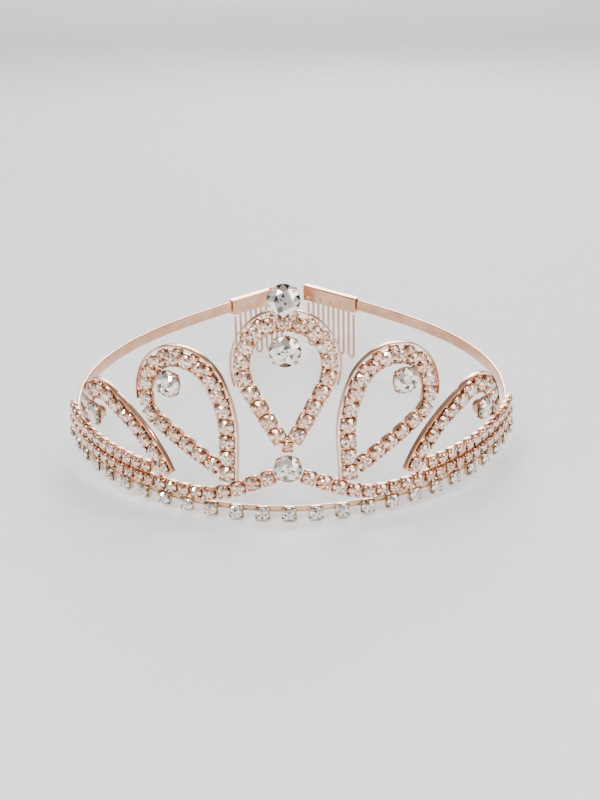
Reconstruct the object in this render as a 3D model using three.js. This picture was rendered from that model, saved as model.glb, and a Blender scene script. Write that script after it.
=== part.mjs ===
// Bridal tiara: a rose-gold crown of five stone-set loops on a spaced rhinestone
// chain, with two springy side arms that each end in a wire hair comb.
// Units are millimetres, +X to the wearer's left as seen from the front, +Y to the back.

import * as THREE from 'three';

// ---------------------------------------------------------------- driving dimensions
const CROWN_HALF_WIDTH = 64.2;    // outer faces of the crown's cups, seen from above
const CROWN_HALF_DEPTH = 65;
const CROWN_RADIUS = (CROWN_HALF_WIDTH + CROWN_HALF_DEPTH) / 2;
const CROWN_END = 84;             // arc length from the front centre to each crown end
const CROWN_LEAN = 4 * Math.PI / 180;
const STANDING_GAP = 0.3;         // clearance between neighbouring pieces

const CUP = 4.3;                  // side of a square stone cup on a loop's legs
const CREST_CUP = 5.2;            // the row's full width at the head of a loop
const CREST_FADE = 20;            // arc length over which it narrows to one cup
const CUP_GAP = 0.3;              // gap between cups of a close-set row
const CUP_DEPTH = 2.3;            // cup from back plate to prong tips
const CUP_STATIONS = [            // [along, half height] of a cup, as parts of its size
  [-0.5, 0.3], [-0.24, 0.5], [0.24, 0.5], [0.5, 0.3],
];

const BASE_CUP = 3.9;             // the spaced cups along the bottom edge
const BASE_PITCH = 6.85;
const BASE_CUPS_EACH_SIDE = 12;
const BASE_LINK = [0.8, 1.8];     // lower and upper edge of the links between them
const BASE_LINK_STEP = 0.1;       // slope where a link meets its cup
const RAIL_LIFT = 0.2;            // middle of the rail above the base cups' centres
const RAIL_HEIGHT = 1.4;
const RAIL_THICKNESS = 0.8;
const RAIL_FACETS = 44;           // straight facets round the rail

const BAND_CUP = 3.3;             // the smaller cups of the two rows above the base
const BAND_CUP_GAP = 0.25;
const ROW_HEIGHT = (BASE_CUP + BAND_CUP) / 2 + 0.2;
const UPPER_ROW_HEIGHT = ROW_HEIGHT + BAND_CUP + 0.2;
const UPPER_ROW_START = 38.4;

const STRIP_THICKNESS = 0.4;      // loop strips stand on edge
const STRIP_FRONT = -0.5;
const STRIP_BACK = -1.9;
const STRIP_GAP = 0.35;           // between a strip and the row that it follows
const STRIP_FADE = 40;            // the strip closes in on its row more slowly

const ARM_THICKNESS = 0.8;
const ARM_HEIGHT = 3.6;
const ARM_TOP = 3.3;              // top edge above the base cups' centre plane
const ARM_PLAN = [
  [59.12, 48.9], [60.9, 61], [60.2, 75], [56, 88.5], [47.8, 102.4], [36, 115.2],
];
const COMB_START = [22.4, 126.8];
const ARM_TIP = [3.6, 140.5];

const COMB_LENGTH = 21;
const SPINE_WIDTH = 2.1;
const SPINE_WALL = 0.35;
const SPINE_DROP = 5.2;           // side walls of the folded spine
const WIRE = 0.8;
const TEETH = 5;
const TOOTH_PITCH = 4.1;
const TOOTH_SPLAY = 2.05;         // distance between the two legs of one tooth
const TOOTH_TIP = -18.2;          // tips of the teeth, from the base cups' centre plane
const BEND_STEPS = 4;

const METAL = { color: 0xd59a80, roughness: 0.22, metalness: 1 };
const CHAIN = { color: 0xe8c8ba, roughness: 0.12, metalness: 0.5 };
const CRYSTAL = { color: 0xf6ece6, roughness: 0.03, metalness: 0.1 };

// Loop outlines are drawn flat, in arc length along the crown and height above the base.
const CENTRE_LOOP = {
  head: [0, 39.3], radius: 11.4, apex: 16.9, legStart: 3.6, stripAngle: 112,
};
const CENTRE_FOOT_CUP = { height: 18.4, size: 2.9 };
const INNER_LOOP = {
  head: [28.7, 28.2], radius: 11, enter: 150, crest: 100, leave: -12,
};
const OUTER_LOOP = {
  head: [57.4, 11.6], radius: 10.9, enter: 117, crest: 98, leave: -1,
};

// Large stones: place on the crown, stone radius, how far the girdle stands proud, tilt.
const LARGE_STONES = [
  { name: 'crest', at: [0, 57.9], radius: 3.95, proud: 3.9, tilt: 14 },
  { name: 'centre_drop', at: [0, 43.9], radius: 3.9, proud: 0.8, tilt: 4 },
  { name: 'cross', at: [0, 13.3], radius: 3.5, proud: 1, tilt: 4 },
  { name: 'inner_drop', at: [30.9, 33], radius: 3.4, proud: 1.3, tilt: 4, paired: true },
  { name: 'outer_drop', at: [58.8, 16.5], radius: 3, proud: 1.3, tilt: 4, paired: true },
];
const STONE_DEPTH = 0.78;         // culet below the girdle, as a part of the radius
const STONE_TABLE = 0.34;         // table above the girdle
const SETTING_GAP = 0.38;         // between a stone and its cup

// The peg that stands on the centre loop's strip and holds the crest setting's back.
const CREST_POST = { width: 1.8, height: 3.15, standing: 0.1, front: -0.4, back: -1.2 };

const SIDES = [{ name: 'left', sign: -1 }, { name: 'right', sign: 1 }];

// ---------------------------------------------------------------- shared geometry
// A place on the crown: distance round it, height, and how far out from the cup fronts.
function crownPoint(along, height, outward) {
  const angle = along / CROWN_RADIUS;
  const across = new THREE.Vector3(
    Math.sin(angle) / CROWN_HALF_WIDTH,
    -Math.cos(angle) / CROWN_HALF_DEPTH,
    0,
  ).normalize();
  const place = new THREE.Vector3(
    CROWN_HALF_WIDTH * Math.sin(angle),
    CROWN_HALF_DEPTH * (1 - Math.cos(angle)),
    height,
  );
  return place.addScaledVector(across, outward - height * Math.tan(CROWN_LEAN));
}

// Turns a flat solid (arc length, height, depth) onto the leaning round crown.
function wrapOnCrown(geometry) {
  const position = geometry.attributes.position;
  for (let i = 0; i < position.count; i += 1) {
    const place = crownPoint(position.getX(i), position.getY(i), position.getZ(i));
    position.setXYZ(i, place.x, place.y, place.z);
  }
  geometry.computeVertexNormals();
  return geometry;
}

// A box bent into a bar whose upper and lower edges run through matching stations.
function barBetween(upper, lower, front, back) {
  const steps = upper.length - 1;
  const geometry = new THREE.BoxGeometry(1, 1, 1, steps, 1, 1);
  const position = geometry.attributes.position;
  for (let i = 0; i < position.count; i += 1) {
    const station = Math.round((position.getX(i) + 0.5) * steps);
    const edge = position.getY(i) > 0 ? upper[station] : lower[station];
    position.setXYZ(i, edge.x, edge.y, position.getZ(i) > 0 ? front : back);
  }
  return geometry;
}

// The two edges of a band of even width along an open line of 2-D points.
function bandEdges(line, halfWidth) {
  const upper = [];
  const lower = [];
  line.forEach((point, i) => {
    const before = line[Math.max(i - 1, 0)];
    const after = line[Math.min(i + 1, line.length - 1)];
    const along = after.clone().sub(before).normalize();
    const normal = new THREE.Vector2(-along.y, along.x).multiplyScalar(halfWidth);
    upper.push(point.clone().add(normal));
    lower.push(point.clone().sub(normal));
  });
  return { upper, lower };
}

// A band of even width, extruded upward from the plane that it is drawn in.
function extrudeBand(line, width, depth) {
  const { upper, lower } = bandEdges(line, width / 2);
  return barBetween(upper, lower, depth, 0);
}

// Width of a loop's row, or of its strip's clearance, at a distance from the crest.
function fadedWidth(distance, fadeLength) {
  return CREST_CUP + (CUP - CREST_CUP) * Math.min(Math.abs(distance) / fadeLength, 1);
}

// Cup centres along a curve, laid both ways from one cup and stretched to fill it.
function layCups(length, firstAt, sizeAt, gap) {
  const cups = [{ at: firstAt, size: sizeAt(firstAt) }];
  for (const [direction, end] of [[-1, 0], [1, length]]) {
    const side = [];
    let last = cups[0];
    for (;;) {
      const size = sizeAt(last.at + direction * last.size);
      const at = last.at + direction * ((last.size + size) / 2 + gap);
      if (direction * (end - at) < 0) break;
      last = { at, size };
      side.push(last);
    }
    const filled = last.at + direction * last.size / 2 - firstAt;
    const stretch = (end - firstAt) / filled;
    side.forEach((cup) => cups.push({ at: firstAt + (cup.at - firstAt) * stretch, size: cup.size }));
  }
  return cups.sort((a, b) => a.at - b.at);
}

// A close-set row as one scalloped bar: full height at each cup, necked between cups.
function cupRow(curve, cups) {
  const length = curve.getLength();
  const upper = [];
  const lower = [];
  for (const { at, size } of cups) {
    for (const [along, half] of CUP_STATIONS) {
      const u = THREE.MathUtils.clamp((at + along * size) / length, 0, 1);
      const point = curve.getPointAt(u);
      const tangent = curve.getTangentAt(u);
      const normal = new THREE.Vector2(-tangent.y, tangent.x).multiplyScalar(half * size);
      upper.push(point.clone().add(normal));
      lower.push(point.clone().sub(normal));
    }
  }
  return wrapOnCrown(barBetween(upper, lower, 0, -CUP_DEPTH));
}

// A strip on edge that follows the outside of a loop's row over a stretch of it.
function stripOutside(curve, crestAt, from, to, steps) {
  const length = curve.getLength();
  const line = [];
  for (let i = 0; i <= steps; i += 1) {
    const at = from + (to - from) * i / steps;
    const tangent = curve.getTangentAt(at / length);
    const clearance = fadedWidth(at - crestAt, STRIP_FADE) / 2 + STRIP_GAP + STRIP_THICKNESS / 2;
    const normal = new THREE.Vector2(-tangent.y, tangent.x).multiplyScalar(clearance);
    line.push(curve.getPointAt(at / length).add(normal));
  }
  const { upper, lower } = bandEdges(line, STRIP_THICKNESS / 2);
  return wrapOnCrown(barBetween(upper, lower, STRIP_FRONT, STRIP_BACK));
}

function arcPoints(centre, radius, fromDegrees, toDegrees, steps) {
  const points = [];
  for (let i = 0; i <= steps; i += 1) {
    const angle = THREE.MathUtils.degToRad(fromDegrees + (toDegrees - fromDegrees) * i / steps);
    points.push(new THREE.Vector2(
      centre[0] + radius * Math.cos(angle),
      centre[1] + radius * Math.sin(angle),
    ));
  }
  return points;
}

// Mirrors a finished solid to the other side and keeps its faces pointing out.
function mirrorX(geometry) {
  const separate = geometry.index ? geometry.toNonIndexed() : geometry.clone();
  const mirrored = separate.scale(-1, 1, 1);
  const position = mirrored.attributes.position;
  const second = new THREE.Vector3();
  const third = new THREE.Vector3();
  for (let i = 0; i < position.count; i += 3) {
    second.fromBufferAttribute(position, i + 1);
    third.fromBufferAttribute(position, i + 2);
    position.setXYZ(i + 1, third.x, third.y, third.z);
    position.setXYZ(i + 2, second.x, second.y, second.z);
  }
  mirrored.computeVertexNormals();
  return mirrored;
}

function namedMesh(name, geometry, look) {
  const mesh = new THREE.Mesh(geometry, new THREE.MeshStandardMaterial(look));
  mesh.name = name;
  return mesh;
}

function addPair(parent, name, geometry, look) {
  for (const side of SIDES) {
    const sided = side.sign > 0 ? geometry : mirrorX(geometry);
    parent.add(namedMesh(`${side.name}_${name}`, sided, look));
  }
}

// ---------------------------------------------------------------- base
function baseRail() {
  const middle = -CUP_DEPTH - STANDING_GAP - RAIL_THICKNESS / 2;
  const line = [];
  for (let i = 0; i <= RAIL_FACETS; i += 1) {
    const place = crownPoint(CROWN_END * (2 * i / RAIL_FACETS - 1), 0, middle);
    line.push(new THREE.Vector2(place.x, place.y));
  }
  return extrudeBand(line, RAIL_THICKNESS, RAIL_HEIGHT)
    .translate(0, 0, RAIL_LIFT - RAIL_HEIGHT / 2);
}

// Spaced cups joined near their tops by short flat links, as one stepped bar.
function baseStoneChain() {
  const upper = [];
  const lower = [];
  const cup = CUP_STATIONS.map(([along, half]) => [along * BASE_CUP, -half * BASE_CUP, half * BASE_CUP]);
  const linkAt = BASE_CUP / 2 + BASE_LINK_STEP;
  const stations = [[-linkAt, ...BASE_LINK], ...cup, [linkAt, ...BASE_LINK]];
  for (let n = -BASE_CUPS_EACH_SIDE; n <= BASE_CUPS_EACH_SIDE; n += 1) {
    for (const [along, bottom, top] of stations) {
      upper.push(new THREE.Vector2(n * BASE_PITCH + along, top));
      lower.push(new THREE.Vector2(n * BASE_PITCH + along, bottom));
    }
  }
  return wrapOnCrown(barBetween(upper, lower, 0, -CUP_DEPTH));
}

function bandRow(curve) {
  const length = curve.getLength();
  return cupRow(curve, layCups(length, BAND_CUP / 2, () => BAND_CUP, BAND_CUP_GAP));
}

// The lower row runs along the base and sweeps up to the stone at the crossing.
function swoopRow() {
  const curve = new THREE.Path();
  curve.moveTo(CROWN_END, ROW_HEIGHT);
  curve.lineTo(25, ROW_HEIGHT);
  curve.bezierCurveTo(17, ROW_HEIGHT, 13, 6.9, 3.4, 10.4);
  return bandRow(curve);
}

function upperRow() {
  return bandRow(new THREE.LineCurve(
    new THREE.Vector2(CROWN_END, UPPER_ROW_HEIGHT),
    new THREE.Vector2(UPPER_ROW_START, UPPER_ROW_HEIGHT),
  ));
}

// ---------------------------------------------------------------- loops
function headRow({ curve, crestAt }) {
  const sizeAt = (at) => fadedWidth(at - crestAt, CREST_FADE);
  return cupRow(curve, layCups(curve.getLength(), crestAt, sizeAt, CUP_GAP));
}

function centreLoop() {
  const { head, radius, apex, legStart, stripAngle } = CENTRE_LOOP;
  const taper = Math.asin(radius / (head[1] - apex));
  const foot = new THREE.Vector2(Math.sin(taper), Math.cos(taper)).multiplyScalar(legStart);
  const curve = new THREE.Path();
  curve.moveTo(-foot.x, apex + foot.y);
  curve.lineTo(-radius * Math.cos(taper), head[1] - radius * Math.sin(taper));
  curve.absarc(head[0], head[1], radius, Math.PI + taper, -taper, true);
  curve.lineTo(foot.x, apex + foot.y);
  const crestAt = curve.getLength() / 2;
  const reach = radius * THREE.MathUtils.degToRad(stripAngle);
  return { curve, crestAt, stripFrom: crestAt - reach, stripTo: crestAt + reach };
}

function centreFootCup() {
  const { height, size } = CENTRE_FOOT_CUP;
  const curve = new THREE.LineCurve(
    new THREE.Vector2(0, height - size / 2),
    new THREE.Vector2(0, height + size / 2),
  );
  return cupRow(curve, [{ at: size / 2, size }]);
}

// Adds the round head to a side loop's path and says where its crest and end are.
function addHead(curve, { head, radius, enter, crest, leave }) {
  const { degToRad } = THREE.MathUtils;
  const flank = curve.getLength();
  curve.absarc(head[0], head[1], radius, degToRad(enter), degToRad(leave), true);
  return {
    curve,
    crestAt: flank + radius * degToRad(enter - crest),
    stripFrom: 0.3,
    stripTo: curve.getLength(),
  };
}

// Up the flank beside the centre loop, over the head and down the long diagonal.
function innerLoop() {
  const [enter] = arcPoints(INNER_LOOP.head, INNER_LOOP.radius, INNER_LOOP.enter, 0, 1);
  const curve = new THREE.Path();
  curve.moveTo(15.9, 8.2);
  curve.lineTo(15.6, 20.5);
  curve.quadraticCurveTo(15.9, 27.6, enter.x, enter.y);
  const loop = addHead(curve, INNER_LOOP);
  curve.quadraticCurveTo(39.4, 23.4, 36.6, 21.7);
  curve.lineTo(19.2, 12);
  return loop;
}

function outerLoop() {
  const [enter] = arcPoints(OUTER_LOOP.head, OUTER_LOOP.radius, OUTER_LOOP.enter, 0, 1);
  const curve = new THREE.Path();
  curve.moveTo(33.6, 6.3);
  curve.quadraticCurveTo(39.4, 17.4, enter.x, enter.y);
  return addHead(curve, OUTER_LOOP);
}

function loopStrip({ curve, crestAt, stripFrom, stripTo }) {
  return stripOutside(curve, crestAt, stripFrom, stripTo, 40);
}

function crestPost() {
  const { width, height, standing, front, back } = CREST_POST;
  const { head, radius } = CENTRE_LOOP;
  const stripTop = head[1] + radius + CREST_CUP / 2 + STRIP_GAP + STRIP_THICKNESS;
  const foot = stripTop + standing;
  const edge = (y) => [new THREE.Vector2(-width / 2, y), new THREE.Vector2(width / 2, y)];
  return wrapOnCrown(barBetween(edge(foot + height), edge(foot), front, back));
}

// ---------------------------------------------------------------- large stones
// The lathe axis, +Y here, is the stone's own axis and points out of its table.
function latheStone(profile) {
  return new THREE.LatheGeometry(profile.map(([x, y]) => new THREE.Vector2(x, y)), 12);
}

function stoneGeometry(radius) {
  return latheStone([
    [0, -STONE_DEPTH * radius], [radius, -0.03 * radius], [radius, 0.03 * radius],
    [0.58 * radius, STONE_TABLE * radius], [0, STONE_TABLE * radius],
  ]);
}

// An open cup under the stone, no wider than the stone.
function settingGeometry(radius) {
  const floor = -STONE_DEPTH * radius - SETTING_GAP;
  const rim = -0.08 * radius - SETTING_GAP;
  return latheStone([
    [0, floor - 0.5], [0.5 * radius, floor - 0.5], [radius, rim - 0.3], [radius, rim],
    [0.93 * radius, rim], [0, floor],
  ]);
}

function placeOnCrown(along, height, proud, tiltDegrees) {
  const angle = along / CROWN_RADIUS;
  const turned = new THREE.Group();
  turned.position.copy(crownPoint(along, height, proud));
  turned.rotation.z = Math.PI + Math.atan2(
    Math.sin(angle) / CROWN_HALF_WIDTH,
    Math.cos(angle) / CROWN_HALF_DEPTH,
  );
  const tilted = new THREE.Group();
  tilted.rotation.x = THREE.MathUtils.degToRad(tiltDegrees);
  turned.add(tilted);
  return { turned, tilted };
}

function addLargeStones(parent) {
  for (const { name, at, radius, proud, tilt, paired } of LARGE_STONES) {
    for (const side of paired ? SIDES : [{ name: '', sign: 1 }]) {
      const prefix = side.name ? `${side.name}_` : '';
      const { turned, tilted } = placeOnCrown(side.sign * at[0], at[1], proud, tilt);
      tilted.add(namedMesh(`${prefix}${name}_setting`, settingGeometry(radius), METAL));
      tilted.add(namedMesh(`${prefix}${name}_stone`, stoneGeometry(radius), CRYSTAL));
      parent.add(turned);
    }
  }
}

// ---------------------------------------------------------------- arms and combs
function armStrip() {
  const plan = [...ARM_PLAN, COMB_START].map(([x, y]) => new THREE.Vector2(x, y));
  const bend = new THREE.SplineCurve(plan);
  const line = bend.getSpacedPoints(26).concat([new THREE.Vector2(...ARM_TIP)]);
  return extrudeBand(line, ARM_THICKNESS, ARM_HEIGHT).translate(0, 0, ARM_TOP - ARM_HEIGHT);
}

// Comb pieces are made along +X, then turned onto the straight end of the arm.
function placeOnArm(geometry) {
  const start = new THREE.Vector2(...COMB_START);
  const tip = new THREE.Vector2(...ARM_TIP);
  const along = tip.clone().sub(start);
  const first = tip.clone().addScaledVector(along.clone().normalize(), -COMB_LENGTH);
  return geometry.rotateZ(along.angle()).translate(first.x, first.y, 0);
}

function combSpine() {
  const half = SPINE_WIDTH / 2;
  const top = ARM_TOP + STANDING_GAP + SPINE_WALL;
  const section = new THREE.Shape([
    [-half, top], [-half, top - SPINE_DROP], [-half + SPINE_WALL, top - SPINE_DROP],
    [-half + SPINE_WALL, top - SPINE_WALL], [half - SPINE_WALL, top - SPINE_WALL],
    [half - SPINE_WALL, top - SPINE_DROP], [half, top - SPINE_DROP], [half, top],
  ].map(([x, y]) => new THREE.Vector2(x, y)));
  const solid = new THREE.ExtrudeGeometry(section, { depth: COMB_LENGTH, bevelEnabled: false });
  solid.rotateX(Math.PI / 2).rotateZ(Math.PI / 2);
  return placeOnArm(solid);
}

// One wire, bent down and up again for each tooth.
function combTeeth() {
  const bend = TOOTH_SPLAY / 2;
  const legTop = ARM_TOP - ARM_HEIGHT - STANDING_GAP - WIRE / 2 - bend;
  const legBottom = TOOTH_TIP + WIRE / 2 + bend;
  const first = (COMB_LENGTH - (TEETH - 1) * TOOTH_PITCH - TOOTH_SPLAY) / 2;
  const line = [new THREE.Vector2(first, legTop)];
  for (let tooth = 0; tooth < TEETH; tooth += 1) {
    const x = first + tooth * TOOTH_PITCH;
    line.push(...arcPoints([x + bend, legBottom], bend, 180, 360, BEND_STEPS));
    if (tooth < TEETH - 1) {
      line.push(...arcPoints([x + TOOTH_SPLAY + bend, legTop], bend, 180, 0, BEND_STEPS));
    } else {
      line.push(new THREE.Vector2(x + TOOTH_SPLAY, legTop));
    }
  }
  const solid = extrudeBand(line, WIRE, WIRE);
  return placeOnArm(solid.translate(0, 0, -WIRE / 2).rotateX(Math.PI / 2));
}

// ---------------------------------------------------------------- assembly
const hoop = new THREE.Group();
const [centre, inner, outer] = [centreLoop(), innerLoop(), outerLoop()];
hoop.add(namedMesh('base_rail', baseRail(), METAL));
hoop.add(namedMesh('base_stone_chain', baseStoneChain(), CHAIN));
addPair(hoop, 'swoop_chain', swoopRow(), CHAIN);
addPair(hoop, 'upper_band_chain', upperRow(), CHAIN);
hoop.add(namedMesh('centre_loop_strip', loopStrip(centre), METAL));
hoop.add(namedMesh('centre_loop_chain', headRow(centre), CHAIN));
hoop.add(namedMesh('centre_foot_cup', centreFootCup(), CHAIN));
addPair(hoop, 'inner_loop_strip', loopStrip(inner), METAL);
addPair(hoop, 'inner_loop_chain', headRow(inner), CHAIN);
addPair(hoop, 'outer_loop_strip', loopStrip(outer), METAL);
addPair(hoop, 'outer_loop_chain', headRow(outer), CHAIN);
hoop.add(namedMesh('crest_post', crestPost(), METAL));
addLargeStones(hoop);
addPair(hoop, 'arm', armStrip(), METAL);
addPair(hoop, 'comb_spine', combSpine(), METAL);
addPair(hoop, 'comb_teeth', combTeeth(), METAL);

// The hoop stands on its front cups and its comb tips, so its back is tilted up.
const nearestTooth = ARM_TIP[1]
  - (COMB_LENGTH / Math.hypot(ARM_TIP[0] - COMB_START[0], ARM_TIP[1] - COMB_START[1]))
  * (ARM_TIP[1] - COMB_START[1]);
hoop.rotation.x = Math.atan((-BASE_CUP / 2 - TOOTH_TIP) / nearestTooth);

const tiara = new THREE.Group();
tiara.add(hoop);
tiara.updateMatrixWorld(true);
const box = new THREE.Box3().setFromObject(tiara, true);
tiara.position.set(-(box.min.x + box.max.x) / 2, -(box.min.y + box.max.y) / 2, -box.min.z);

export default tiara;
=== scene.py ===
import math
import random

import bmesh
import bpy
from mathutils import Matrix, Vector


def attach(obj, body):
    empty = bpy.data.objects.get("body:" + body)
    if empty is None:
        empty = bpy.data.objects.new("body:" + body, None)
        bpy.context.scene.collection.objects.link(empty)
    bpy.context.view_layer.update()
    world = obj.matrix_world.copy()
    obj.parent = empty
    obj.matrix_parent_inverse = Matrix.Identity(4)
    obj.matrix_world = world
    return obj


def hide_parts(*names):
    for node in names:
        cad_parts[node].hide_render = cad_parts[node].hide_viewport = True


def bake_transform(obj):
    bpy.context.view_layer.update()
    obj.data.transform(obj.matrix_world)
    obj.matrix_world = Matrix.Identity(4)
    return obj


# Bridal tiara. Lengths are in millimetres in the hoop's own frame, and HOOP carries
# them into the row frame in metres.
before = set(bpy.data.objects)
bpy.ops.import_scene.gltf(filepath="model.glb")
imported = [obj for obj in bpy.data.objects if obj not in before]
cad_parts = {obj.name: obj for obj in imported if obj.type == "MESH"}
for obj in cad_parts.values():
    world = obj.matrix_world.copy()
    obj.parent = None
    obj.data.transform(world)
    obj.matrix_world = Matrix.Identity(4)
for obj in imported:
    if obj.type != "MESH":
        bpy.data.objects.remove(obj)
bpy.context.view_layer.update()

# ------------------------------------------------------------------ hoop and crown
MM = 0.001
HOOP_TILT = 0.126149
HOOP_SHIFT = (0.0, -66.282, 1.951)
HOOP = (
    Matrix.Scale(MM, 4)
    @ Matrix.Translation(HOOP_SHIFT)
    @ Matrix.Rotation(HOOP_TILT, 4, "X")
)
MIRROR = Matrix.Scale(-1, 4, (1, 0, 0))

CROWN_HALF_WIDTH = 64.2
CROWN_HALF_DEPTH = 65.0
CROWN_RADIUS = (CROWN_HALF_WIDTH + CROWN_HALF_DEPTH) / 2
CROWN_END = 84.0
CROWN_LEAN = math.radians(4)
STANDING_GAP = 0.3

CUP = 4.3  # width of a loop's row at its feet
CREST_CUP = 5.2  # and at its crest
CREST_FADE = 20.0
CUP_DEPTH = 2.3
HEAD_CUP = 4.25  # cups on a loop; the head's extra width holds the filler cups
FILLER_CUP = 2.5
HEAD_GAP = 0.1
ROW_SECTION_STEP = 1.2  # between the sections of a link strip
LOOP_STRIP_STEPS = 110
FILLER_FROM_WIDTH = 4.5  # fillers stand where the row is wider than this

BASE_CUP = 3.9
BASE_PITCH = 6.85
BASE_CUPS_EACH_SIDE = 12
RAIL_LIFT = 0.2
RAIL_HEIGHT = 1.4
RAIL_THICKNESS = 0.8
BAND_CUP = 3.3
BAND_CUP_GAP = 0.25
ROW_HEIGHT = (BASE_CUP + BAND_CUP) / 2 + 0.2
UPPER_ROW_HEIGHT = ROW_HEIGHT + BAND_CUP + 0.2
UPPER_ROW_START = 38.4
SWOOP_LIFT_START = 25.0
SWOOP_GROWTH_LENGTH = 8.0
SWOOP_CUP = 3.9
LINK_HEIGHT = 1.0
LINK_THICKNESS = 0.5
LINK_DEPTH = 1.7
BASE_LINK_LIFT = 1.35

STRIP_THICKNESS = 0.4
STRIP_FRONT = -0.5
STRIP_BACK = -1.9
STRIP_GAP = 0.35
STRIP_FADE = 40.0

ARM_THICKNESS = 0.8
ARM_HEIGHT = 3.6
ARM_TOP = 3.3
ARM_PLAN = [(59.12, 48.9), (60.9, 61), (60.2, 75), (56, 88.5), (47.8, 102.4), (36, 115.2)]
COMB_START = Vector((22.4, 126.8))
ARM_TIP = Vector((3.6, 140.5))
COMB_LENGTH = 21.0
SPINE_WIDTH = 2.1
SPINE_WALL = 0.35
SPINE_DROP = 5.2
WIRE = 0.8
TEETH = 5
TOOTH_PITCH = 4.1
TOOTH_SPLAY = 2.05
TOOTH_TIP = -18.2
DIMPLE_DEPTH = 0.22
DIMPLE_REACH = 0.5
DIMPLE_RISE = 1.25  # above the spine's lower edge
SPINE_ROUND = 0.5  # height of the fold's rounded top
SPINE_STEPS = 84

CENTRE_HEAD, CENTRE_RADIUS, CENTRE_APEX, CENTRE_LEG_START = (0, 39.3), 11.4, 16.9, 3.0
CENTRE_STRIP_ANGLE = 112
FOOT_CUP_HEIGHT, FOOT_CUP = 18.4, 2.9
INNER_HEAD, INNER_RADIUS = (28.7, 28.2), 11
INNER_ENTER, INNER_CREST, INNER_LEAVE = 150, 100, -12
OUTER_HEAD, OUTER_RADIUS = (57.4, 11.6), 10.9
OUTER_ENTER, OUTER_CREST, OUTER_LEAVE = 117, 98, -10

POST_WIDTH, POST_HEIGHT, POST_THICKNESS, POST_DEPTH = 1.8, 3.15, 0.8, -0.8
POST_SINK = 0.3  # the solder takes the peg's foot down onto the strip

# name: (along, height, stone radius, girdle proud of the cups, tilt up in degrees)
LARGE_STONES = {
    "crest": (0, 57.9, 3.95, 3.9, 14),
    "centre_drop": (0, 43.9, 3.9, 0.8, 4),
    "cross": (0, 13.3, 3.5, 1, 4),
    "inner_drop": (30.9, 33, 3.4, 1.3, 4),
    "outer_drop": (58.8, 16.5, 3, 1.3, 4),
}
PAIRED = ("inner_drop", "outer_drop")
SETTING_SIDES = 40
CLAW_THICKNESS, CLAW_WIDTH = 0.3, 0.8

# ------------------------------------------------------------------ camera
camera = bpy.data.objects.new("camera", bpy.data.cameras.new("camera"))
bpy.context.scene.collection.objects.link(camera)
bpy.context.scene.camera = camera
camera.location = (0.00828, -0.38866, 0.14912)
camera.rotation_euler = [math.radians(a) for a in (70.115, 1.085, 0.497)]
camera.data.sensor_width = 36
camera.data.lens = 63.96
camera.data.clip_start = 0.01


# ------------------------------------------------------------------ materials
def new_material(name):
    material = bpy.data.materials.new(name)
    material.use_nodes = True
    return material, material.node_tree, material.node_tree.nodes["Principled BSDF"]


def ramp(tree, source, stops, interpolation="LINEAR"):
    """A colour ramp fed by source; stops are (position, colour) pairs."""
    node = tree.nodes.new("ShaderNodeValToRGB")
    node.color_ramp.interpolation = interpolation
    elements = node.color_ramp.elements
    while len(elements) < len(stops):
        elements.new(0.5)
    for element, (position, colour) in zip(elements, stops):
        element.position = position
        element.color = (*colour, 1)
    tree.links.new(source, node.inputs["Fac"])
    return node.outputs["Color"]


def noise(tree, scale, detail=3.0):
    """Fine noise fixed to the object's own coordinates."""
    place = tree.nodes.new("ShaderNodeTexCoord")
    node = tree.nodes.new("ShaderNodeTexNoise")
    node.inputs["Scale"].default_value = scale
    node.inputs["Detail"].default_value = detail
    tree.links.new(place.outputs["Object"], node.inputs["Vector"])
    return node.outputs["Fac"]


def plated_metal(name, pale, deep, smooth, worn, grain, bump):
    """Rose-gold plating: colour drifts slightly, and rubbed patches are less glossy."""
    material, tree, shader = new_material(name)
    shader.inputs["Metallic"].default_value = 1
    colour = ramp(tree, noise(tree, 120), [(0.35, deep), (0.65, pale)])
    tree.links.new(colour, shader.inputs["Base Color"])
    rub = ramp(tree, noise(tree, grain, 6), [(0.35, (smooth,) * 3), (0.75, (worn,) * 3)])
    tree.links.new(rub, shader.inputs["Roughness"])
    relief = tree.nodes.new("ShaderNodeBump")
    relief.inputs["Strength"].default_value = bump
    relief.inputs["Distance"].default_value = 0.00005
    tree.links.new(noise(tree, grain * 2), relief.inputs["Height"])
    tree.links.new(relief.outputs["Normal"], shader.inputs["Normal"])
    return material


def crystal_with_painted_glints(name, stops, roughness, coat):
    """Cut glass over a foil back, with painted reflections: each cut face takes its colour from its
    painted shade value, from painted dark reflections to painted white glints.
    """
    material, tree, shader = new_material(name)
    painted_facet_shade = tree.nodes.new("ShaderNodeAttribute")
    painted_facet_shade.attribute_name = "painted_facet_shade"
    tree.links.new(ramp(tree, painted_facet_shade.outputs["Fac"], stops), shader.inputs["Base Color"])
    shader.inputs["Metallic"].default_value = 0.82
    shader.inputs["Roughness"].default_value = roughness
    shader.inputs["Coat Weight"].default_value = coat
    shader.inputs["Coat Roughness"].default_value = 0.02
    shader.inputs["Coat IOR"].default_value = 1.6
    return material


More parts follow.
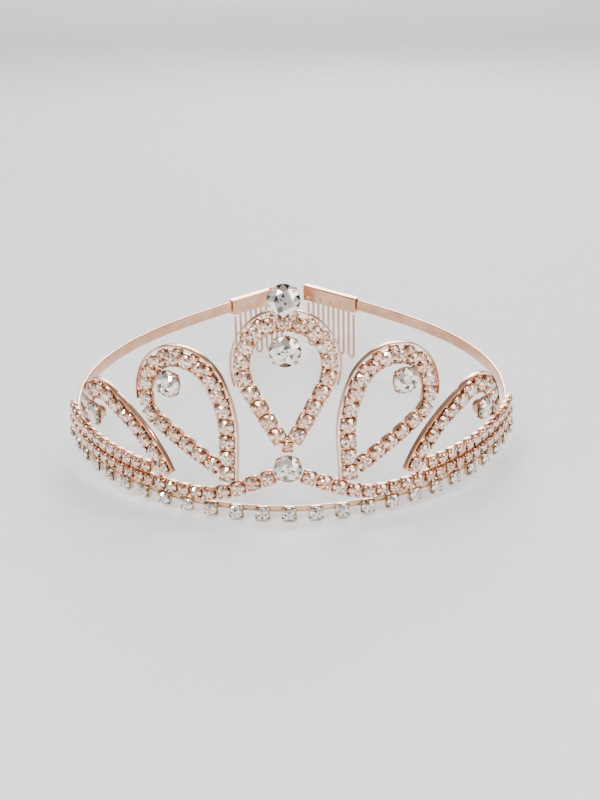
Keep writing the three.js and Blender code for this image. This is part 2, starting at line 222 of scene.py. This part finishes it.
STRIP_METAL = plated_metal(
    "polished_rose_gold", (0.78, 0.47, 0.31), (0.60, 0.32, 0.19), 0.12, 0.26, 900, 0.25
)
CUP_METAL = plated_metal(
    "cast_rose_gold", (0.80, 0.47, 0.30), (0.54, 0.28, 0.16), 0.16, 0.34, 1500, 0.4
)
PALE_METAL = plated_metal(
    "pale_gold", (0.82, 0.64, 0.44), (0.60, 0.42, 0.27), 0.16, 0.32, 1500, 0.35
)
WIRE_METAL = plated_metal(
    "drawn_rose_gold", (0.72, 0.43, 0.30), (0.56, 0.30, 0.20), 0.18, 0.34, 2200, 0.35
)
# painted reflections on the small stones: dark brown through peach to painted white glints
SMALL_STONE = crystal_with_painted_glints(
    "small_cut_stone",
    [
        (0.0, (0.05, 0.018, 0.008)),
        (0.2, (0.30, 0.12, 0.055)),
        (0.45, (0.76, 0.38, 0.21)),
        (0.72, (0.98, 0.62, 0.42)),
        (0.92, (1.0, 0.96, 0.91)),
    ],
    0.07,
    0.45,
)
# painted reflections on the base chain's clear stones: near black to painted white glints
CLEAR_SMALL_STONE = crystal_with_painted_glints(
    "clear_cut_stone",
    [
        (0.0, (0.04, 0.03, 0.02)),
        (0.3, (0.30, 0.22, 0.15)),
        (0.6, (0.85, 0.74, 0.60)),
        (0.85, (1.0, 1.0, 1.0)),
    ],
    0.05,
    0.7,
)
# painted reflections on the large stones: near black through champagne to painted white glints
LARGE_STONE = crystal_with_painted_glints(
    "large_cut_stone",
    [
        (0.0, (0.02, 0.016, 0.01)),
        (0.25, (0.16, 0.12, 0.07)),
        (0.5, (0.66, 0.56, 0.42)),
        (0.72, (0.96, 0.91, 0.82)),
        (0.88, (1.0, 1.0, 1.0)),
    ],
    0.03,
    0.8,
)


# ------------------------------------------------------------------ mesh building
class Shape:
    """Points in the hoop's frame and faces, gathered for one piece."""

    def __init__(self):
        self.points = []
        self.faces = []
        # painted shade of each face, which the stone materials turn into painted reflections
        self.painted_shades = []

    def add(self, points, faces, matrix=None, painted_shades=None):
        first = len(self.points)
        self.points += [matrix @ p for p in points] if matrix else points
        self.faces += [[first + i for i in face] for face in faces]
        self.painted_shades += painted_shades or [0.0] * len(faces)

    def piece(self, name, material, slot, body, nodes, flat=False, mirror=False):
        """Makes the piece, riding on body and standing for the CAD nodes."""
        place = HOOP @ MIRROR if mirror else HOOP
        mesh = bpy.data.meshes.new(name)
        mesh.from_pydata([place @ p for p in self.points], [], self.faces)
        # painted shade of each face, read by the stone materials for their painted reflections and
        # glints
        painted_shade_layer = mesh.attributes.new("painted_facet_shade", "FLOAT", "FACE")
        painted_shade_layer.data.foreach_set("value", self.painted_shades)
        solid = bmesh.new()
        solid.from_mesh(mesh)
        bmesh.ops.recalc_face_normals(solid, faces=solid.faces)
        solid.to_mesh(mesh)
        solid.free()
        if not flat:
            mesh.shade_smooth()
            mesh.set_sharp_from_angle(angle=math.radians(38))
        mesh.materials.append(material)
        made = bpy.data.objects.new(name, mesh)
        bpy.context.scene.collection.objects.link(made)
        if body:
            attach(made, body)
        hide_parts(*nodes)
        return made


def crown(along, height, outward):
    """A place on the crown: distance round it, height, and how far out."""
    angle = along / CROWN_RADIUS
    across = Vector(
        (math.sin(angle) / CROWN_HALF_WIDTH, -math.cos(angle) / CROWN_HALF_DEPTH, 0)
    ).normalized()
    place = Vector(
        (
            CROWN_HALF_WIDTH * math.sin(angle),
            CROWN_HALF_DEPTH * (1 - math.cos(angle)),
            height,
        )
    )
    return place + across * (outward - height * math.tan(CROWN_LEAN))


def crown_frame(along, height, tangent, size):
    """Axes of a cup: along its row, across it, and out of the crown."""
    origin = crown(along, height, 0)
    outward = crown(along, height, 1) - origin
    ahead = crown(along + 0.5 * tangent.x, height + 0.5 * tangent.y, 0) - crown(
        along - 0.5 * tangent.x, height - 0.5 * tangent.y, 0
    )
    outward = (outward - ahead * outward.dot(ahead) / ahead.length_squared).normalized()
    ahead.normalize()
    across = outward.cross(ahead)
    turned = Matrix((ahead * size, across * size, outward)).transposed().to_4x4()
    return Matrix.Translation(origin) @ turned


class Track:
    """A flat line of points that is read by the distance along it."""

    def __init__(self, points):
        self.points = [Vector(points[0])]
        self.marks = [0.0]
        for point in points[1:]:
            step = (Vector(point) - self.points[-1]).length
            if step > 1e-6:
                self.points.append(Vector(point))
                self.marks.append(self.marks[-1] + step)
        self.length = self.marks[-1]

    def point(self, distance):
        last = len(self.marks) - 2
        k = next((i for i, m in enumerate(self.marks[1:]) if m >= distance), last)
        share = (distance - self.marks[k]) / (self.marks[k + 1] - self.marks[k])
        return self.points[k].lerp(self.points[k + 1], share)

    def tangent(self, distance, reach=0.25):
        return (self.point(distance + reach) - self.point(distance - reach)).normalized()


def line(a, b, steps=1):
    return [Vector(a).lerp(Vector(b), i / steps) for i in range(steps + 1)]


def bezier(*controls, steps=24):
    """Points on a Bezier curve of any degree."""
    points = []
    for i in range(steps + 1):
        level = [Vector(c) for c in controls]
        while len(level) > 1:
            level = [a.lerp(b, i / steps) for a, b in zip(level, level[1:])]
        points.append(level[0])
    return points


def arc(centre, radius, start, end, steps=48):
    """Points on an arc, angles in degrees."""
    points = []
    for i in range(steps + 1):
        angle = math.radians(start + (end - start) * i / steps)
        points.append(Vector(centre) + radius * Vector((math.cos(angle), math.sin(angle))))
    return points


def rounded_box(wide, high, radius, steps=3):
    """A section outline, centred, with rounded corners."""
    outline = []
    for corner in range(4):
        turn = 90 * corner
        x = (wide / 2 - radius) * (1 if corner in (0, 3) else -1)
        y = (high / 2 - radius) * (1 if corner < 2 else -1)
        outline += arc((x, y), radius, turn, turn + 90, steps)
    return outline


def circle(radius, sides=10):
    return arc((0, 0), radius, 0, 360 - 360 / sides, sides - 1)


def sweep(points, section, place):
    """Carries a section along a flat line. place maps (flat point, depth) to 3-D."""
    made = []
    for i, point in enumerate(points):
        ahead = points[min(i + 1, len(points) - 1)] - points[max(i - 1, 0)]
        ahead.normalize()
        normal = Vector((-ahead.y, ahead.x))
        made += [place(point + normal * a, b) for a, b in section]
    count = len(section)
    faces = [list(range(count)), list(range(len(made) - count, len(made)))]
    for i in range(len(points) - 1):
        for j in range(count):
            k = (j + 1) % count
            low, high = i * count, (i + 1) * count
            faces.append([low + j, low + k, high + k, high + j])
    return made, faces


# ------------------------------------------------------------------ cups and stones
CUP_RINGS = [  # half width and corner radius as parts of the cup's size, then depth
    (0.34, 0.12, -CUP_DEPTH),
    (0.44, 0.15, -CUP_DEPTH + 0.2),
    (0.485, 0.16, -1.15),
    (0.47, 0.15, -0.98),
    (0.405, 0.13, -0.98),
    (0.36, 0.12, -1.75),
]
PRONG_PATH = [  # distance from the axis and width as parts of the size, then depth
    (0.575, 0.19, -1.9),
    (0.615, 0.21, -1.1),
    (0.60, 0.20, -0.55),
    (0.53, 0.18, -0.2),
    (0.43, 0.15, -0.08),
    (0.40, 0.10, -0.2),
]
PRONG_THICKNESS = 0.075
STONE_SHARE = 0.47  # stone radius as a part of the cup's size
STONE_GIRDLE = -0.55


def cup_template():
    """A square cup with four prongs, one unit wide, its front at depth 0."""
    shape = Shape()
    points, faces = [], []
    for half, radius, depth in CUP_RINGS:
        ring = rounded_box(2 * half, 2 * half, radius, 2)
        points += [Vector((x, y, depth)) for x, y in ring]
    count = len(points) // len(CUP_RINGS)
    faces += [list(range(count)), list(range(len(points) - count, len(points)))]
    for i in range(len(CUP_RINGS) - 1):
        for j in range(count):
            k = (j + 1) % count
            low, high = i * count, (i + 1) * count
            faces.append([low + j, low + k, high + k, high + j])
    shape.add(points, faces)
    for corner in range(4):
        turn = Matrix.Rotation(math.radians(45 + 90 * corner), 4, "Z")
        shape.add(*prong(), matrix=turn)
    return shape


def prong():
    """One prong, standing out along +X and bent in over the stone."""
    points, faces = [], []
    for away, width, depth in PRONG_PATH:
        inner = away - PRONG_THICKNESS
        for x, y in (
            (away, 0),
            (away - 0.02, width / 2),
            (inner, width / 2),
            (inner, -width / 2),
            (away - 0.02, -width / 2),
        ):
            points.append(Vector((x, y, depth)))
    last = len(points) - 5
    faces += [[0, 1, 2, 3, 4], [last, last + 1, last + 2, last + 3, last + 4]]
    for i in range(len(PRONG_PATH) - 1):
        for j in range(5):
            k = (j + 1) % 5
            faces.append([5 * i + j, 5 * i + k, 5 * i + 5 + k, 5 * i + 5 + j])
    return points, faces


def brilliant(sides=8):
    """A cut stone of radius 1 along +Z, its girdle at height 0."""
    points, faces = [], []

    def ring(count, radius, height, turn=0.0):
        first = len(points)
        for i in range(count):
            angle = 2 * math.pi * (i + turn) / count
            points.append(
                Vector((radius * math.cos(angle), radius * math.sin(angle), height))
            )
        return [first + i for i in range(count)]

    points += [Vector((0, 0, 0.34)), Vector((0, 0, -0.78))]
    core = ring(sides, 0.27, 0.34, 0.5)
    table = ring(sides, 0.56, 0.34)
    stars = ring(sides, 0.77, 0.215, 0.5)
    upper = ring(2 * sides, 1, 0.03)
    lower = ring(2 * sides, 1, -0.03)
    for i in range(sides):
        after, before = (i + 1) % sides, (i - 1) % sides
        faces.append([0, core[i], core[after]])
        faces.append([core[i], table[i], table[after]])
        faces.append([core[before], table[i], core[i]])
        faces.append([table[i], stars[i], table[after]])
        faces.append([table[i], stars[before], upper[2 * i], stars[i]])
        faces.append([stars[i], upper[2 * i], upper[2 * i + 1]])
        faces.append([stars[i], upper[2 * i + 1], upper[(2 * i + 2) % (2 * sides)]])
    for i in range(2 * sides):
        after = (i + 1) % (2 * sides)
        faces.append([upper[i], lower[i], lower[after], upper[after]])
        faces.append([lower[i], 1, lower[after]])
    return points, faces


CUP_TEMPLATE = cup_template()
STONE_POINTS, STONE_FACES = brilliant()
shades = random.Random(7)


PAINTED_FACET_SHADES = (  # painted shade of each kind of crown cut face, standing in for its reflections, on even and on odd sides
    (0.35, 0.80),
    (0.85, 0.30),
    (0.25, 0.75),
    (0.95, 0.45),
    (0.55, 0.95),
    (0.10, 0.60),
    (0.75, 0.20),
)
# random drift of each cut face's painted shade
SHADE_DRIFT = 0.28
SMALL_STONE_GLINT_LIFT = (0.9, 1.25)  # range of the factor that brightens a stone's painted shades
# factor that brightens a large stone's painted shades
LARGE_STONE_GLINT_LIFT = 1.3


def add_stone(shape, matrix, lift):
    """A stone with painted reflections in a star pattern, with some random drift; lift brightens
    the painted shade of every cut face.
    """
    kinds = len(PAINTED_FACET_SHADES)
    painted_shades = []
    for i in range(len(STONE_FACES)):
        shade = PAINTED_FACET_SHADES[i % kinds][i // kinds % 2]
        shade += shades.uniform(-SHADE_DRIFT, SHADE_DRIFT)
        painted_shades.append(max(0.0, min(1.0, shade * lift)))
    shape.add(STONE_POINTS, STONE_FACES, matrix, painted_shades)


def add_cup(cups, stones, along, height, tangent, size):
    place = crown_frame(along, height, tangent, size)
    cups.add(CUP_TEMPLATE.points, CUP_TEMPLATE.faces, place)
    radius = STONE_SHARE * size
    turn = Matrix.Rotation(shades.uniform(0, math.pi / 4), 4, "Z")
    seat = crown_frame(along, height, tangent, 1) @ Matrix.Translation((0, 0, STONE_GIRDLE))
    # random brightening of this stone's painted shades
    lift = shades.uniform(*SMALL_STONE_GLINT_LIFT)
    add_stone(stones, seat @ turn @ Matrix.Scale(radius, 4), lift)


def faded_width(distance, fade_length):
    """Width of a loop's row, or of its strip's clearance, at a distance from the crest."""
    return CREST_CUP + (CUP - CREST_CUP) * min(abs(distance) / fade_length, 1)


def lay_cups(length, first_at, size_at, gap):
    """Cup centres along a row, laid both ways from one cup and stretched to fill it."""
    cups = [(first_at, size_at(first_at))]
    for direction, end in ((-1, 0), (1, length)):
        side = []
        last_at, last_size = cups[0]
        while True:
            size = size_at(last_at + direction * last_size)
            at = last_at + direction * ((last_size + size) / 2 + gap)
            if direction * (end - at) < 0:
                break
            last_at, last_size = at, size
            side.append((at, size))
        filled = last_at + direction * last_size / 2 - first_at
        stretch = (end - first_at) / filled
        cups += [(first_at + (at - first_at) * stretch, size) for at, size in side]
    return sorted(cups)


def on_crown(flat, outward):
    return crown(flat.x, flat.y, outward)


def normal_at(track, at):
    ahead = track.tangent(at)
    return Vector((-ahead.y, ahead.x))


def link_strip(metal, track, first, last, lift=0.0):
    """The flat strip behind a row that joins its cups."""
    steps = max(2, round((last - first) / ROW_SECTION_STEP))
    run = [
        track.point(first + (last - first) * i / steps) + Vector((0, lift))
        for i in range(steps + 1)
    ]
    section = rounded_box(LINK_HEIGHT, LINK_THICKNESS, 0.15, 2)
    metal.add(*sweep(run, section, lambda p, b: on_crown(p, b - LINK_DEPTH)))


def finish_row(node, metal, stones, sides, finishes):
    """Makes a row's metal and stones on each side of the crown."""
    cup_finish, stone_finish = finishes
    for side in sides:
        name, mirror = side + node, side == "left_"
        metal.piece(f"{name}_cups", cup_finish, "rose_gold", "crown", [name], mirror=mirror)
        stones.piece(
            f"{name}_stones", stone_finish, "crystal_chain", "crown", [name], True, mirror
        )


def stone_row(node, track, cups, sides=("",), lift=0.0, finishes=None):
    """A plain row of cups with its link strip."""
    metal, stones = Shape(), Shape()
    for at, size in cups:
        point = track.point(at)
        add_cup(metal, stones, point.x, point.y, track.tangent(at), size)
    if len(cups) > 1:
        link_strip(metal, track, cups[0][0], cups[-1][0], lift)
    finish_row(node, metal, stones, sides, finishes or (CUP_METAL, SMALL_STONE))


def head_row(node, track, crest_at, sides=("",)):
    """A loop's row: even cups along the inside, small fillers outside them at the head."""
    metal, stones = Shape(), Shape()
    cups = lay_cups(track.length, crest_at, lambda at: HEAD_CUP, HEAD_GAP)
    for at, _ in cups:
        inward = (faded_width(at - crest_at, CREST_FADE) - HEAD_CUP) / 2
        point = track.point(at) - normal_at(track, at) * inward
        add_cup(metal, stones, point.x, point.y, track.tangent(at), HEAD_CUP)
    for (a, _), (b, _) in zip(cups, cups[1:]):
        at = (a + b) / 2
        width = faded_width(at - crest_at, CREST_FADE)
        if width < FILLER_FROM_WIDTH:
            continue
        point = track.point(at) + normal_at(track, at) * (width - FILLER_CUP) / 2
        add_cup(metal, stones, point.x, point.y, track.tangent(at), FILLER_CUP)
    link_strip(metal, track, cups[0][0], cups[-1][0])
    finish_row(node, metal, stones, sides, (CUP_METAL, SMALL_STONE))


def loop_strip(node, track, crest_at, start, end, sides=("",)):
    """A thin polished strip on edge that follows the outside of a loop's row."""
    section = rounded_box(STRIP_THICKNESS, STRIP_FRONT - STRIP_BACK, 0.12, 2)
    middle = (STRIP_FRONT + STRIP_BACK) / 2
    points = []
    for i in range(LOOP_STRIP_STEPS + 1):
        at = start + (end - start) * i / LOOP_STRIP_STEPS
        clearance = faded_width(at - crest_at, STRIP_FADE) / 2 + STRIP_GAP + STRIP_THICKNESS / 2
        points.append(track.point(at) + normal_at(track, at) * clearance)
    shape = Shape()
    shape.add(*sweep(points, section, lambda p, b: on_crown(p, b + middle)))
    for side in sides:
        name = side + node
        shape.piece(
            name + "_band", STRIP_METAL, "rose_gold", "crown", [name], mirror=side == "left_"
        )


BOTH = ("right_", "left_")

# ------------------------------------------------------------------ base
rail = Shape()
rail_middle = -CUP_DEPTH - STANDING_GAP - RAIL_THICKNESS / 2
rail.add(
    *sweep(
        line((-CROWN_END, 0), (CROWN_END, 0), 140),
        rounded_box(RAIL_HEIGHT, RAIL_THICKNESS, 0.25),
        lambda p, b: crown(p.x, 0, rail_middle + b) + Vector((0, 0, p.y + RAIL_LIFT)),
    )
)
rail.piece("base_rail_band", STRIP_METAL, "rose_gold", "crown", ["base_rail"])

base_line = Track(line((-CROWN_END, 0), (CROWN_END, 0), 4))
base_cups = [
    (CROWN_END + n * BASE_PITCH, BASE_CUP)
    for n in range(-BASE_CUPS_EACH_SIDE, BASE_CUPS_EACH_SIDE + 1)
]
stone_row(
    "base_stone_chain",
    base_line,
    base_cups,
    lift=BASE_LINK_LIFT,
    finishes=(PALE_METAL, CLEAR_SMALL_STONE),
)


# ------------------------------------------------------------------ rows on the band
def band_row(node, track, size_at=lambda at: BAND_CUP):
    stone_row(node, track, lay_cups(track.length, BAND_CUP / 2, size_at, BAND_CUP_GAP), BOTH)


swoop = Track(
    line((CROWN_END, ROW_HEIGHT), (SWOOP_LIFT_START, ROW_HEIGHT), 20)
    + bezier((SWOOP_LIFT_START, ROW_HEIGHT), (17, ROW_HEIGHT), (13, 6.9), (3.4, 10.4))
)


def swoop_size(at):
    """Swoop cups grow once the row has left the band."""
    free = (at - CROWN_END + SWOOP_LIFT_START) / SWOOP_GROWTH_LENGTH
    return BAND_CUP + (SWOOP_CUP - BAND_CUP) * max(0, min(1, free))


band_row("swoop_chain", swoop, swoop_size)
band_row(
    "upper_band_chain",
    Track(line((CROWN_END, UPPER_ROW_HEIGHT), (UPPER_ROW_START, UPPER_ROW_HEIGHT), 20)),
)

# ------------------------------------------------------------------ loops
taper = math.degrees(math.asin(CENTRE_RADIUS / (CENTRE_HEAD[1] - CENTRE_APEX)))
leg = CENTRE_LEG_START * Vector((math.sin(math.radians(taper)), math.cos(math.radians(taper))))
centre_head = arc(CENTRE_HEAD, CENTRE_RADIUS, 180 + taper, -taper, 96)
centre = Track(
    line((-leg.x, CENTRE_APEX + leg.y), centre_head[0], 8)
    + centre_head
    + line(centre_head[-1], (leg.x, CENTRE_APEX + leg.y), 8)
)
centre_crest = centre.length / 2
centre_reach = CENTRE_RADIUS * math.radians(CENTRE_STRIP_ANGLE)
head_row("centre_loop_chain", centre, centre_crest)
loop_strip(
    "centre_loop_strip",
    centre,
    centre_crest,
    centre_crest - centre_reach,
    centre_crest + centre_reach,
)
post_foot = (
    CENTRE_HEAD[1]
    + CENTRE_RADIUS
    + CREST_CUP / 2
    + STRIP_GAP
    + STRIP_THICKNESS
    - POST_SINK
)
post = Shape()
post.add(
    *sweep(
        line((0, post_foot), (0, post_foot + POST_SINK + POST_HEIGHT), 8),
        rounded_box(POST_WIDTH, POST_THICKNESS, 0.25),
        lambda p, b: on_crown(p, b + POST_DEPTH),
    )
)
post.piece("crest_peg", CUP_METAL, "rose_gold", "crown", ["crest_post"])

foot = Track(line((0, FOOT_CUP_HEIGHT - FOOT_CUP), (0, FOOT_CUP_HEIGHT + FOOT_CUP), 4))
stone_row("centre_foot_cup", foot, [(FOOT_CUP, FOOT_CUP)])

inner_head = arc(INNER_HEAD, INNER_RADIUS, INNER_ENTER, INNER_LEAVE, 64)
inner_flank = line((15.9, 8.2), (15.6, 20.5), 8) + bezier(
    (15.6, 20.5), (15.9, 27.6), inner_head[0]
)
inner = Track(
    inner_flank
    + inner_head
    + bezier(inner_head[-1], (39.4, 23.4), (36.6, 21.7))
    + line((36.6, 21.7), (18.0, 11.3), 12)
)
inner_crest = Track(inner_flank).length + INNER_RADIUS * math.radians(INNER_ENTER - INNER_CREST)
inner_end = Track(inner_flank + inner_head).length
head_row("inner_loop_chain", inner, inner_crest, BOTH)
loop_strip("inner_loop_strip", inner, inner_crest, 0.3, inner_end, BOTH)

outer_head = arc(OUTER_HEAD, OUTER_RADIUS, OUTER_ENTER, OUTER_LEAVE, 48)
outer_flank = bezier((33.6, 6.3), (39.4, 17.4), outer_head[0])
outer = Track(outer_flank + outer_head)
outer_crest = Track(outer_flank).length + OUTER_RADIUS * math.radians(OUTER_ENTER - OUTER_CREST)
head_row("outer_loop_chain", outer, outer_crest, BOTH)
loop_strip("outer_loop_strip", outer, outer_crest, 0.3, outer.length, BOTH)


# ------------------------------------------------------------------ large stones
def large_setting(radius):
    """A round cup for a large stone, with four prongs over its edge."""
    back = -0.78 * radius - 0.88
    rim = -0.08 * radius - 0.38
    profile = [
        (0.42 * radius, back),
        (0.52 * radius, back + 0.12),
        (0.8 * radius, -0.45 * radius),
        (0.98 * radius, rim - 0.3),
        (radius, rim - 0.05),
        (0.97 * radius, rim),
        (0.92 * radius, rim),
        (0.5 * radius, -0.45 * radius - 0.38),
        (0.2 * radius, -0.7 * radius - 0.38),
    ]
    sides = SETTING_SIDES
    points = [
        Vector((r * math.cos(2 * math.pi * i / sides), r * math.sin(2 * math.pi * i / sides), z))
        for r, z in profile
        for i in range(sides)
    ]
    faces = [list(range(sides)), list(range(len(points) - sides, len(points)))]
    for i in range(len(profile) - 1):
        for j in range(sides):
            k = (j + 1) % sides
            low, high = i * sides, (i + 1) * sides
            faces.append([low + j, low + k, high + k, high + j])
    shape = Shape()
    shape.add(points, faces)
    claw_path = [
        Vector((radius - 0.1, -1.3)),
        Vector((radius + 0.22, -0.5)),
        Vector((radius + 0.35, 0.3)),
        Vector((radius - 0.1, 0.5)),
        Vector((0.84 * radius, 0.62)),
    ]
    smooth = bezier(*claw_path, steps=10)
    section = rounded_box(CLAW_THICKNESS, CLAW_WIDTH, 0.14, 2)
    for corner in range(4):
        turn = Matrix.Rotation(math.radians(45 + 90 * corner), 4, "Z")
        shape.add(*sweep(smooth, section, lambda p, b: Vector((p.x, b, p.y))), matrix=turn)
    return shape


for name, (along, height, radius, proud, tilt) in LARGE_STONES.items():
    angle = along / CROWN_RADIUS
    facing = math.pi + math.atan2(
        math.sin(angle) / CROWN_HALF_WIDTH, math.cos(angle) / CROWN_HALF_DEPTH
    )
    place = (
        Matrix.Translation(crown(along, height, proud))
        @ Matrix.Rotation(facing, 4, "Z")
        @ Matrix.Rotation(math.radians(tilt - 90), 4, "X")
    )
    template = large_setting(radius)
    setting, stone = Shape(), Shape()
    setting.add(template.points, template.faces, place)
    # painted reflections and painted glints on the large stone's cut faces
    add_stone(stone, place @ Matrix.Scale(radius, 4), LARGE_STONE_GLINT_LIFT)
    for side in BOTH if name in PAIRED else ("",):
        whole, mirror = side + name, side == "left_"
        setting.piece(
            whole + "_claws", CUP_METAL, "rose_gold", "crown", [whole + "_setting"], mirror=mirror
        )
        stone.piece(
            whole + "_gem", LARGE_STONE, "crystal", "crown", [whole + "_stone"], True, mirror
        )


# ------------------------------------------------------------------ arms and combs
def catmull_rom(controls, steps=14):
    """A smooth line through the points."""
    controls = [Vector(c) for c in controls]
    points = []
    for i in range(len(controls) - 1):
        p0, p1 = controls[max(i - 1, 0)], controls[i]
        p2, p3 = controls[i + 1], controls[min(i + 2, len(controls) - 1)]
        for j in range(steps):
            t = j / steps
            v0, v1 = (p2 - p0) / 2, (p3 - p1) / 2
            points.append(
                (2 * p1 - 2 * p2 + v0 + v1) * t**3
                + (3 * p2 - 3 * p1 - 2 * v0 - v1) * t**2
                + v0 * t
                + p1
            )
    return points + [controls[-1]]


comb_way = (ARM_TIP - COMB_START).normalized()
comb_side = Vector((-comb_way.y, comb_way.x))
comb_origin = ARM_TIP - comb_way * COMB_LENGTH


def on_comb(x, y, z):
    """A place in the comb's own frame: along the spine, across it and up."""
    flat = comb_origin + comb_way * x + comb_side * y
    return Vector((flat.x, flat.y, z))


def arm_shape():
    shape = Shape()
    section = rounded_box(ARM_THICKNESS, ARM_HEIGHT, 0.28)
    middle = ARM_TOP - ARM_HEIGHT / 2
    plan = catmull_rom([*ARM_PLAN, COMB_START]) + [ARM_TIP]
    shape.add(*sweep(plan, section, lambda p, b: Vector((p.x, p.y, middle + b))))
    return shape


def spine_shape():
    """A folded strip over the arm's end, pressed in at each tooth."""
    top = ARM_TOP + STANDING_GAP + SPINE_WALL
    half, inside = SPINE_WIDTH / 2, SPINE_WIDTH / 2 - SPINE_WALL
    rows = 14
    sides = [
        top - SPINE_ROUND - (SPINE_DROP - SPINE_ROUND) * i / rows for i in range(rows + 1)
    ]
    outside = [(half, z) for z in reversed(sides)] + [
        (p.x, p.y) for p in arc((0, top - SPINE_ROUND), 1, 15, 165, 6)
    ]
    outside = [(max(-half, min(half, y)), min(z, top)) for y, z in outside]
    outside += [(-half, z) for z in sides]
    inner = [(-inside, sides[-1]), (-inside, top - SPINE_WALL - 0.2)]
    inner += [(inside, top - SPINE_WALL - 0.2), (inside, sides[-1])]
    section = outside + inner
    first = (COMB_LENGTH - (TEETH - 1) * TOOTH_PITCH) / 2
    dimples = [first + i * TOOTH_PITCH for i in range(TEETH)]
    level = top - SPINE_DROP + DIMPLE_RISE
    steps = SPINE_STEPS
    points = []
    for i in range(steps + 1):
        x = COMB_LENGTH * i / steps
        for y, z in section:
            near = min(math.hypot(x - d, z - level) for d in dimples)
            press = DIMPLE_DEPTH * math.exp(-((near / DIMPLE_REACH) ** 2))
            points.append(on_comb(x, y - math.copysign(press, y), z))
    count = len(section)
    faces = [list(range(count)), list(range(len(points) - count, len(points)))]
    for i in range(steps):
        for j in range(count):
            k = (j + 1) % count
            low, high = i * count, (i + 1) * count
            faces.append([low + j, low + k, high + k, high + j])
    shape = Shape()
    shape.add(points, faces)
    return shape


def teeth_shape():
    """One round wire, bent down and up again for each tooth."""
    bend = TOOTH_SPLAY / 2
    leg_top = ARM_TOP - ARM_HEIGHT - STANDING_GAP - WIRE / 2 - bend
    leg_bottom = TOOTH_TIP + WIRE / 2 + bend
    start = (COMB_LENGTH - (TEETH - 1) * TOOTH_PITCH - TOOTH_SPLAY) / 2
    run = [Vector((start, leg_top))]
    for tooth in range(TEETH):
        x = start + tooth * TOOTH_PITCH
        run += line(run[-1], (x, leg_bottom), 6)[1:]
        run += arc((x + bend, leg_bottom), bend, 180, 360, 10)[1:]
        run += line(run[-1], (x + TOOTH_SPLAY, leg_top), 6)[1:]
        if tooth < TEETH - 1:
            run += arc((x + TOOTH_SPLAY + bend, leg_top), bend, 180, 0, 10)[1:]
    shape = Shape()
    shape.add(*sweep(run, circle(WIRE / 2), lambda p, b: on_comb(p.x, b, p.y)))
    return shape


arm, spine, teeth = arm_shape(), spine_shape(), teeth_shape()
for side in BOTH:
    mirror, body = side == "left_", side + "arm"
    strip = arm.piece(body + "_strip", STRIP_METAL, "rose_gold", None, [body], mirror=mirror)
    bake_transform(strip)
    for shape, name, metal, node in (
        (spine, "spine_fold", STRIP_METAL, "comb_spine"),
        (teeth, "teeth_wire", WIRE_METAL, "comb_teeth"),
    ):
        shape.piece(side + name, metal, "rose_gold", body, [side + node], mirror=mirror)

# ------------------------------------------------------------------ floor and light
bpy.ops.mesh.primitive_plane_add(size=8, location=(0, 0, 0))
floor = bpy.context.object
floor.name = "floor"
paper, paper_tree, paper_shader = new_material("pale_paper")
paper_colour = ramp(paper_tree, noise(paper_tree, 4), [(0.3, (0.74,) * 3), (0.7, (0.78,) * 3)])
paper_tree.links.new(paper_colour, paper_shader.inputs["Base Color"])
paper_shader.inputs["Roughness"].default_value = 0.75
floor.data.materials.append(paper)

world = bpy.data.worlds.new("studio")
bpy.context.scene.world = world
world.use_nodes = True
sky = world.node_tree
where = sky.nodes.new("ShaderNodeTexCoord")
split = sky.nodes.new("ShaderNodeSeparateXYZ")
sky.links.new(where.outputs["Generated"], split.inputs["Vector"])
glow = ramp(sky, split.outputs["Z"], [(0.0, (0.55,) * 3), (0.15, (0.42,) * 3), (0.8, (0.75,) * 3)])
sky.links.new(glow, sky.nodes["Background"].inputs["Color"])
sky.nodes["Background"].inputs["Strength"].default_value = 0.7


def area_light(name, place, size, power, colour=(1, 1, 1)):
    """A square lamp that faces the tiara's front."""
    lamp = bpy.data.lights.new(name, "AREA")
    lamp.size = size
    lamp.energy = power
    lamp.color = colour
    made = bpy.data.objects.new(name, lamp)
    bpy.context.scene.collection.objects.link(made)
    made.location = place
    aim = Vector((0, -0.03, 0.02)) - Vector(place)
    made.rotation_euler = aim.to_track_quat("-Z", "Y").to_euler()


area_light("key", (-0.35, -0.55, 0.75), 0.45, 7)
area_light("fill", (0.6, -0.4, 0.4), 0.5, 2.5, (1, 0.96, 0.92))
area_light("rim", (0.1, 0.7, 0.55), 0.5, 5)
area_light("far_floor", (0, 2.2, 1.4), 1.6, 45)
for number, place in enumerate(
    [(-0.15, -0.6, 0.32), (0.22, -0.55, 0.5), (0.0, -0.3, 0.7), (-0.5, -0.3, 0.25), (0.5, 0.1, 0.5)]
):
    area_light(f"sparkle_{number}", place, 0.03, 0.8)
